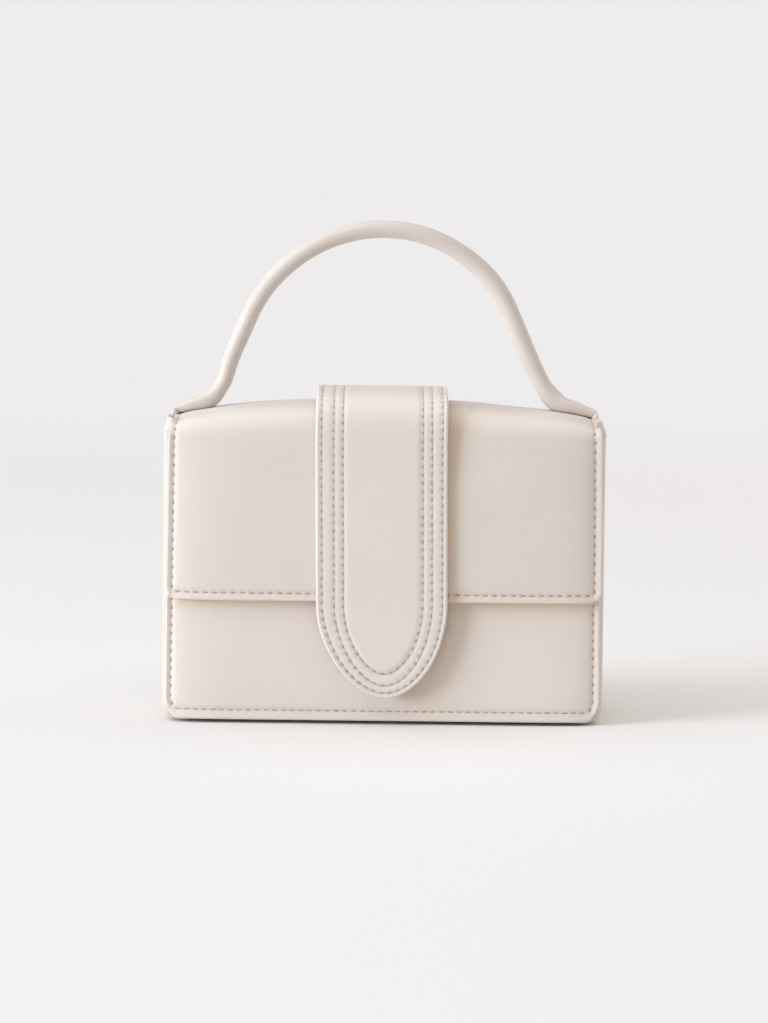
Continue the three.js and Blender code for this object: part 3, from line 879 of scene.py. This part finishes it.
def new_material(name, surface):
    """A material, its node tree and its shader, whose inputs are set by name."""
    material = bpy.data.materials.new(name)
    material.use_nodes = True
    shader = material.node_tree.nodes["Principled BSDF"]
    for key, value in surface.items():
        shader.inputs[key].default_value = value
    return material, material.node_tree, shader


def two_tones(tree, colour, tones):
    """A ramp from a darker to a paler shade of a colour."""
    ramp = node(tree, "ShaderNodeValToRGB")
    low, high = ramp.color_ramp.elements
    low.position, high.position = tones["start"], tones["end"]
    for stop, share in ((low, tones["dark"]), (high, tones["pale"])):
        stop.color = (*[min(1, channel * share) for channel in colour], 1)
    return ramp


def tint(tree, colour):
    """A node that multiplies a colour by a tint."""
    return node(tree, "ShaderNodeMix", data_type="RGBA", blend_type="MULTIPLY", B=(*colour, 1))


def leather(part, roughness=LEATHER_ROUGHNESS["body"]):
    """Smooth leather: faint clouding, a darker tone along the stitched rows (partly wear, partly painted
    shade), painted warm shade near the tab's shaded edge and under the flap's edge, fine grain and pores.
    """
    material, tree, shader = new_material(part + "_leather_cream", LEATHER_SURFACE)
    place = node(tree, "ShaderNodeTexCoord")
    cloud = node(tree, "ShaderNodeTexNoise", **CLOUD)
    tone = two_tones(tree, LEATHER_COLOUR[part], CLOUD_TONES)
    seam = node(tree, "ShaderNodeAttribute", attribute_name="seam")
    share = node(tree, "ShaderNodeMath", operation="MULTIPLY")
    share.inputs[1].default_value = SEAM_TINT["share"]
    # Along the stitched rows: partly wear, partly painted shade in the valley
    seam_wear_and_shade = tint(tree, SEAM_TINT["colour"])
    # Painted shade near the tab's shaded edge and under the flap's edge
    painted_shade = node(tree, "ShaderNodeAttribute", attribute_name="painted_shade")
    painted_shade_tint = tint(tree, PAINTED_SHADE_TINT)
    grain = node(tree, "ShaderNodeTexVoronoi", feature="SMOOTH_F1", **GRAIN)
    pores = node(tree, "ShaderNodeTexNoise", **PORES)
    height = node(tree, "ShaderNodeMix", data_type="FLOAT")
    height.inputs[0].default_value = 0.5
    bump = node(tree, "ShaderNodeBump", **LEATHER_BUMP)
    gloss = node(tree, "ShaderNodeMapRange")
    gloss.inputs["To Min"].default_value = roughness - LEATHER_ROUGHNESS["less"]
    gloss.inputs["To Max"].default_value = roughness + LEATHER_ROUGHNESS["more"]
    wire(
        tree,
        *[(place, "Object", texture, "Vector") for texture in (cloud, grain, pores)],
        (cloud, "Fac", tone, "Fac"),
        (seam, "Fac", share, 0),
        (share, 0, seam_wear_and_shade, 0),
        (tone, "Color", seam_wear_and_shade, "A"),
        (painted_shade, "Fac", painted_shade_tint, 0),
        (seam_wear_and_shade, "Result", painted_shade_tint, "A"),
        (painted_shade_tint, "Result", shader, "Base Color"),
        (grain, "Distance", height, "A"),
        (pores, "Fac", height, "B"),
        (height, "Result", bump, "Height"),
        (bump, "Normal", shader, "Normal"),
        (pores, "Fac", gloss, "Value"),
        (gloss, "Result", shader, "Roughness"),
    )
    return material


def noisy_material(name, surface, noise, bump):
    """A material whose bumps come from one noise, its tree, its shader and the noise."""
    material, tree, shader = new_material(name, surface)
    place = node(tree, "ShaderNodeTexCoord")
    texture = node(tree, "ShaderNodeTexNoise", **noise)
    bumps = node(tree, "ShaderNodeBump", **bump)
    wire(
        tree,
        (place, "Object", texture, "Vector"),
        (texture, "Fac", bumps, "Height"),
        (bumps, "Normal", shader, "Normal"),
    )
    return material, tree, shader, texture


def thread_material(name, colour):
    """Matt thread with the twist of its strands."""
    material, tree, shader, twist = noisy_material(name, THREAD_SURFACE, TWIST, TWIST_BUMP)
    tone = two_tones(tree, colour, TWIST_TONES)
    wire(tree, (twist, "Fac", tone, "Fac"), (tone, "Color", shader, "Base Color"))
    return material


def metal_material(name, colour):
    """Plain nickel with fine turning marks."""
    surface = {"Base Color": (*colour, 1), "Metallic": 1.0}
    material, tree, shader, marks = noisy_material(name, surface, NICKEL_MARKS, NICKEL_BUMP)
    gloss = node(tree, "ShaderNodeMapRange", **NICKEL_ROUGHNESS)
    wire(tree, (marks, "Fac", gloss, "Value"), (gloss, "Result", shader, "Roughness"))
    return material


def needle_shade_material(name, colour):
    """Matt and plain: the painted shade of the needle slots."""
    return new_material(name, {"Base Color": (*colour, 1), **SLOT_SURFACE})[0]


sewing = [thread_material("thread", STITCH_THREAD_AND_SHADE_COLOUR), needle_shade_material("needle_hole_shade", NEEDLE_SHADE_COLOUR)]
handle_sewing = [
    thread_material("handle_thread", HANDLE_THREAD_COLOUR),
    needle_shade_material("handle_needle_hole_shade", HANDLE_NEEDLE_SHADE_COLOUR),
]


# The sheets of the bag

def flap_sheet():
    line = OverTop(
        low=flap_low[2],
        back_end=FLAP_BACK_LOW,
        front=flap_low[1] + FLAP_PUFF + FLAP_BOW["height"],
        back=flap_high[1] - FLAP_PUFF,
        top=lambda x: crown(x) - FLAP_PUFF,
    )
    half = PANEL_HALF_WIDTH["low"]

    def place(u, along, height):
        z = line.place(0.0, along, 0.0)[..., 2]
        narrowing = FLAP_NARROWING * np.sin(line.turn_at(along))
        x = set_sideways(u, half, "flap") * (half_width_at(PANEL_HALF_WIDTH, z) - narrowing) / half
        front = ease(along, (line.front_leg + line.arch_end) / 2, FLAP_BOW["fade_low"] - line.low)
        bow = FLAP_BOW["height"] * front * bow_share(half - np.abs(u), FLAP_BOW["reach"])
        return line.place(x, along, height + bow)

    return Sheet(
        half, line.length, corner_of(**FLAP_CORNER), corner_of(FLAP_BACK_CORNER, FLAP_BACK_CORNER),
        pad_relief(FLAP_PUFF), [STITCH_INSET], PITCH["flap"], SHEET_THICKNESS, place,
    )


def panel_sheet(side, low, high, puff, bow):
    half = PANEL_HALF_WIDTH["low"]
    valley = low[1] + puff + bow if side < 0 else high[1] - puff - bow

    def place(u, along, height):
        z = low[2] + along
        x = set_sideways(-side * u, half, "panel") * half_width_at(PANEL_HALF_WIDTH, z) / half
        bowed = height + bow * bow_share(half - np.abs(u), PANEL_BOW["reach"])
        return np.stack(np.broadcast_arrays(x, valley + side * bowed, z), axis=-1)

    return Sheet(
        half, high[2] - low[2], corner_of(**PANEL_CORNER), None,
        pad_relief(puff), [STITCH_INSET], PITCH["panel"], SHEET_THICKNESS, place,
    )


def tab_sheet():
    line = OverTop(
        low=tab_low[2],
        back_end=TAB_BACK_LOW,
        front=tab_low[1] + TAB_RIB["solid"],
        back=tab_high[1] - TAB_RIB["solid"],
        top=lambda x: tab_high[2] - TAB_RIB["solid"] + 0 * x,
    )

    def place(u, along, height):
        front_share = np.minimum(along / line.front_leg, 1)
        end_share = np.minimum(along / TAB_END_HEIGHT, 1)
        shift = blend(TAB_SHIFT["low"], TAB_SHIFT["top"], front_share)
        inside = TAB_HALF_WIDTH - np.abs(u)
        at_rows = ease(inside, TAB_ROW_SHIFT["from_edge"], TAB_ROW_SHIFT["full_at"])
        shift = shift + TAB_ROW_SHIFT["by"] * at_rows
        return line.place(u + shift + TAB_SHIFT["tip"] * (1 - end_share) ** 2, along, height)

    end = {
        "across": TAB_HALF_WIDTH,
        "along": TAB_END_HEIGHT,
        "insets": [0, *TAB_ROWS, TAB_HALF_WIDTH],
        "margins": [0, *TAB_TIP_ROWS, TAB_HALF_WIDTH],
        "power": TAB_END_POWER,
    }
    return Sheet(
        TAB_HALF_WIDTH, line.length, end, corner_of(TAB_BACK_CORNER, TAB_BACK_CORNER),
        tab_relief, TAB_ROWS, PITCH["tab"], TAB_THICKNESS, place,
    )


def mirrored(half, insets, step):
    return lines_along(2 * half, insets, insets, step) - half


def tab_edge_lines():
    """Fine lines near the edge and near each stitched row of the tab."""
    grid = TAB_GRID
    lines = [line for line in EDGE_LINES if line < TAB_ROWS[0] - grid["rim"]]
    for row, following in zip(TAB_ROWS, [*TAB_ROWS[1:], TAB_FIELD_INSET + grid["past"]]):
        start, end = row + grid["row"], following - grid["row"]
        lines += [row - grid["row"], row, start, *even_lines(start, end, grid["rib"])]
    return lines + [TAB_FIELD_INSET + grid["field"]]


def add(piece, stitches, node_name, slot_name, fill, threads=sewing, scale=1.0):
    """Hides the piece's solid, sews its stitches and attaches both to the body."""
    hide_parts(node_name)
    sewn = stitching(node_name + "_stitching", stitches, (thread_template, needle_shade_template), threads, scale)
    for made in (piece, sewn):
        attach(made, BODY)


flap = flap_sheet()
flap_columns = mirrored(flap.half, EDGE_LINES, GRID_STEP)
flap_rows = lines_along(flap.length, np.array(EDGE_LINES) * stretch(flap.front), EDGE_LINES)
# The flap gets painted shade beside the tab's shaded edge
flap_made = sheet_piece("flap_padded", flap, flap_columns, flap_rows, leather("flap"), with_painted_shade=True)
add(*flap_made, "flap", "flap_leather", FILL["flap"])

panel_leather = leather("panel")
for face, side, low, high, flap_edge in (
    ("front", -1, panel_low, panel_high, flap_low[2]),
    ("back", 1, back_low, back_high, FLAP_BACK_LOW),
):
    name = face + "_panel"
    low = np.array(low) - (0, 0, PANEL_DROP)
    sheet = panel_sheet(side, low, high, PANEL_PUFF[face], PANEL_BOW[face])
    columns = mirrored(sheet.half, EDGE_LINES, GRID_STEP)
    seen = flap_edge + FINE_UNDER_FLAP[face] - low[2]
    low_lines = np.array(EDGE_LINES) * stretch(sheet.front)
    rows = np.concatenate((
        low_lines,
        even_lines(low_lines[-1], seen, GRID_STEP),
        [seen],
        even_lines(seen, sheet.length - EDGE_LINES[-1], HIDDEN_GRID_STEP),
        sheet.length - np.array(EDGE_LINES[::-1]),
    ))
    # The panels get painted shade under the flap's edge
    made = sheet_piece(name + "_padded", sheet, columns, rows, panel_leather, with_painted_shade=True)
    add(*made, name, "panel_leather", FILL["panel"])

tab = tab_sheet()
tab_lines = tab_edge_lines()
tab_columns = mirrored(tab.half, tab_lines, TAB_GRID["middle"])
tab_rows = lines_along(tab.length, np.array(tab_lines) * stretch(tab.front), tab_lines)
tab_made = sheet_piece("closure_tab_padded", tab, tab_columns, tab_rows, leather("tab"))
add(*tab_made, "closure_tab", "tab_leather", FILL["tab"])

pale_thread = thread_material("pale_thread", PALE_THREAD_COLOUR)
bridge_half = (PITCH["tab"] - BRIDGE["short"]) / 2
between = tab.stitches(start=0)
bridges = stitching("closure_tab_thread", between, [bridge_template], [pale_thread], half=bridge_half)
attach(bridges, BODY)

add(*gusset_piece(leather("gusset")), "gusset", "gusset_leather", None)
handle_made = handle_piece(leather("handle", LEATHER_ROUGHNESS["handle"]))
add(*handle_made, "handle", "handle_leather", FILL["handle"], handle_sewing, HANDLE_SEAM["scale"])

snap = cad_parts["magnet_snap"]
snap.data.materials.clear()
snap.data.materials.append(metal_material("snap_nickel", NICKEL_COLOUR))


# Floor: a flat disc that rises into a round cove, and glows evenly far from the bag
COVE = {"flat": 3500, "radius": 1500, "sides": 96, "steps": 16, "rings": (0.2, 0.5, 0.8)}
FLOOR_COLOUR = (0.78, 0.765, 0.75)
GLOW = {"behind": (0.86, 0.838, 0.844), "before": (0.34, 0.324, 0.304), "from": 500, "to": 2000}
GLOW_TURN = {"before": -0.4, "behind": 0.8}


def smooth_range(tree, low, high):
    limits = {"From Min": low, "From Max": high}
    return node(tree, "ShaderNodeMapRange", interpolation_type="SMOOTHSTEP", **limits)


def floor_material():
    """Matt near the bag; far from it an even glow, paler behind the bag than before it."""
    material, tree, shader = new_material("floor_pale", {})
    tree.nodes.remove(shader)
    matt = node(tree, "ShaderNodeBsdfDiffuse", Color=(*FLOOR_COLOUR, 1))
    glow = node(tree, "ShaderNodeEmission", Strength=1.0)
    place = node(tree, "ShaderNodeTexCoord")
    way = node(tree, "ShaderNodeVectorMath", operation="NORMALIZE")
    ways = node(tree, "ShaderNodeSeparateXYZ")
    hue = node(tree, "ShaderNodeMix", data_type="RGBA")
    hue.inputs["A"].default_value = (*GLOW["before"], 1)
    hue.inputs["B"].default_value = (*GLOW["behind"], 1)
    reach = node(tree, "ShaderNodeVectorMath", operation="LENGTH")
    turn = smooth_range(tree, GLOW_TURN["before"], GLOW_TURN["behind"])
    share = smooth_range(tree, GLOW["from"] * MM, GLOW["to"] * MM)
    both = node(tree, "ShaderNodeMixShader")
    wire(
        tree,
        (place, "Object", reach, 0),
        (place, "Object", way, 0),
        (way, "Vector", ways, 0),
        (ways, "Y", turn, "Value"),
        (turn, "Result", hue, 0),
        (hue, "Result", glow, "Color"),
        (reach, "Value", share, "Value"),
        (share, "Result", both, "Fac"),
        (matt, "BSDF", both, 1),
        (glow, "Emission", both, 2),
        (both, "Shader", tree.nodes["Material Output"], "Surface"),
    )
    return material


def studio_cove():
    flat, radius, sides = COVE["flat"], COVE["radius"], COVE["sides"]
    turns = np.linspace(0, math.pi / 2, COVE["steps"])
    profile = [(flat * share, 0.0) for share in COVE["rings"]]
    profile += [(flat + radius * math.sin(t), radius * (1 - math.cos(t))) for t in turns]
    ways = full_turn(sides)
    points = [(0, 0, 0)]
    points += [(reach * math.cos(a), reach * math.sin(a), z) for reach, z in profile for a in ways]
    faces = [(0, 1 + k, 1 + (k + 1) % sides) for k in range(sides)]
    rings = sweep_faces(len(profile), sides)[:-2]
    faces += [tuple(1 + index for index in face[::-1]) for face in rings]
    new_mesh("studio_floor", points, faces, [floor_material()])


studio_cove()


# Light: two round lamps on the left, a fill on the right, a weak lamp behind and a broad light from above.
# A lamp's level is the light on a surface that faces it, as a share of full white.
LAMP_COLUMNS = ("name", "from_left", "rise", "distance", "radius", "level", "colour")
ROUND_LAMPS = [
    ("key", 66, 12, 3200, 720, 0.75, (0.955, 1.005, 1.08)),
    ("high", 66, 40, 3200, 720, 0.16, (0.8, 1.015, 1.17)),
    ("fill", -90, 20, 3000, 1300, 0.2, (0.99, 0.975, 0.93)),
    ("rim", -130, 25, 3000, 900, 0.07, (0.99, 0.995, 1.015)),
]
TOP = {"from_left": 40, "rise": 84, "distance": 2600, "level": 0.75, "colour": (0.98, 0.95, 0.935)}
TOP_SPREAD = math.radians(90)
SURROUND = {"colour": (1, 0.96, 0.9), "strength": 0.03}


def aim_lamp(lamp, place):
    """Puts a lamp where it shines on the bag; from_left turns it from the camera's side to the left."""
    turn, tilt = math.radians(place["from_left"]), math.radians(place["rise"])
    source = Vector((-math.sin(turn) * math.cos(tilt), -math.cos(turn) * math.cos(tilt), math.sin(tilt)))
    lamp.color = place["colour"]
    item = bpy.data.objects.new(lamp.name, lamp)
    item.rotation_mode = "QUATERNION"
    item.rotation_quaternion = (-source).to_track_quat("-Z", "Y")
    item.location = source * place["distance"] * MM
    item.visible_camera = False
    bpy.context.scene.collection.objects.link(item)


for row in ROUND_LAMPS:
    place = dict(zip(LAMP_COLUMNS, row))
    lamp = bpy.data.lights.new(place["name"], "AREA")
    lamp.shape = "DISK"
    lamp.size = 2 * place["radius"] * MM
    lamp.energy = place["level"] * math.pi ** 2 * (place["distance"] ** 2 + place["radius"] ** 2) * MM ** 2
    aim_lamp(lamp, place)

top = bpy.data.lights.new("top", "SUN")
top.angle = TOP_SPREAD
top.energy = TOP["level"] * math.pi
aim_lamp(top, TOP)

world = bpy.data.worlds.new("studio")
world.use_nodes = True
background = world.node_tree.nodes["Background"]
background.inputs["Color"].default_value = (*SURROUND["colour"], 1)
background.inputs["Strength"].default_value = SURROUND["strength"]
bpy.context.scene.world = world
bpy.context.scene.view_settings.view_transform = "Standard"

# Camera at the photograph's viewpoint
SENSOR_WIDTH = 36
IMAGE_HEIGHT = 1023
FOCAL_PIXELS = 2600
EYE = (0.3, -1080, 196.8)
PITCH_DOWN = math.radians(5.893)
ROLL = math.radians(0.65)

camera = bpy.data.objects.new("camera", bpy.data.cameras.new("camera"))
camera.data.sensor_width = SENSOR_WIDTH
camera.data.lens = SENSOR_WIDTH * FOCAL_PIXELS / IMAGE_HEIGHT
forward = Vector((0, math.cos(PITCH_DOWN), -math.sin(PITCH_DOWN)))
level_up = Vector((0, math.sin(PITCH_DOWN), math.cos(PITCH_DOWN)))
right = Vector((1, 0, 0)) * math.cos(ROLL) + level_up * math.sin(ROLL)
up = level_up * math.cos(ROLL) - Vector((1, 0, 0)) * math.sin(ROLL)
turned = Matrix((right, up, -forward)).transposed().to_4x4()
camera.matrix_world = Matrix.Translation(Vector(EYE) * MM) @ turned
bpy.context.scene.collection.objects.link(camera)
bpy.context.scene.camera = camera

# Bring the scene's matrices up to date
bpy.context.view_layer.update()
